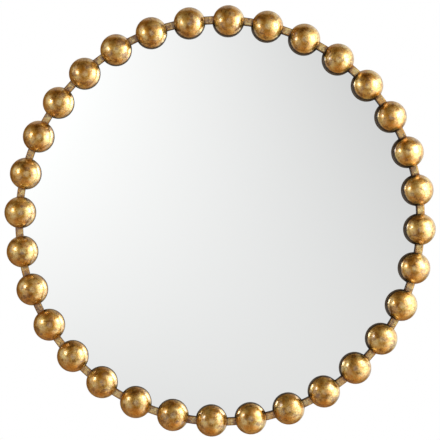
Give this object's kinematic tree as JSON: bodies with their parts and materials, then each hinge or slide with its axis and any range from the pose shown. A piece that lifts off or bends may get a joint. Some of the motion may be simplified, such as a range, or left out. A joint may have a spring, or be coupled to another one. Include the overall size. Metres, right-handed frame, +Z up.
{
  "type": "round beaded wall mirror",
  "caption": "Round wall mirror framed by a ring of gilded balls threaded on a square hoop, with a steel rim, backing panel and two swinging D-ring hangers.",
  "frame": {"origin": "centre of the mirror in the wall plane, which the back edge of the rim lies in", "axes": "+Z up, +Y from the mirror to the wall along the mirror's axis, +X to the right as the room sees it; the glass faces -Y"},
  "size_m": [0.914, 0.0912, 0.914],
  "materials": {
    "gold_leaf": "satin",
    "silvered_glass": "polished",
    "tape_foam": "matte",
    "backing_board": "matte",
    "tab_steel": "satin",
    "screw_zinc": "satin",
    "hanger_steel": "satin"
  },
  "bodies": {
    "mirror": {"ball_01": "gold_leaf", "ball_02": "gold_leaf", "ball_03": "gold_leaf", "ball_04": "gold_leaf", "ball_05": "gold_leaf", "ball_06": "gold_leaf", "ball_07": "gold_leaf", "ball_08": "gold_leaf", "ball_09": "gold_leaf", "ball_10": "gold_leaf", "ball_11": "gold_leaf", "ball_12": "gold_leaf", "ball_13": "gold_leaf", "ball_14": "gold_leaf", "ball_15": "gold_leaf", "ball_16": "gold_leaf", "ball_17": "gold_leaf", "ball_18": "gold_leaf", "ball_19": "gold_leaf", "ball_20": "gold_leaf", "ball_21": "gold_leaf", "ball_22": "gold_leaf", "ball_23": "gold_leaf", "ball_24": "gold_leaf", "ball_25": "gold_leaf", "ball_26": "gold_leaf", "ball_27": "gold_leaf", "ball_28": "gold_leaf", "ball_29": "gold_leaf", "ball_30": "gold_leaf", "ball_31": "gold_leaf", "ball_32": "gold_leaf", "hoop": "gold_leaf", "rim_band": "gold_leaf", "mirror_glass": "silvered_glass", "mirror_tape": "tape_foam", "back_panel": "backing_board", "panel_tabs": "tab_steel", "panel_screws": "screw_zinc", "hanger_strap_left": "hanger_steel", "hanger_strap_right": "hanger_steel", "hanger_screws": "screw_zinc"},
    "d_ring_left": {"d_ring_left": "hanger_steel"},
    "d_ring_right": {"d_ring_right": "hanger_steel"}
  },
  "joints": [
    {"name": "d_ring_left_swing", "type": "hinge", "parent": "mirror", "child": "d_ring_left", "pos_m": [-0.31948, -0.0068, 0.18445], "axis": [1, 0, 0], "range_deg": [0, 180]},
    {"name": "d_ring_right_swing", "type": "hinge", "parent": "mirror", "child": "d_ring_right", "pos_m": [0.31948, -0.0068, 0.18445], "axis": [1, 0, 0], "range_deg": [0, 180]}
  ]
}
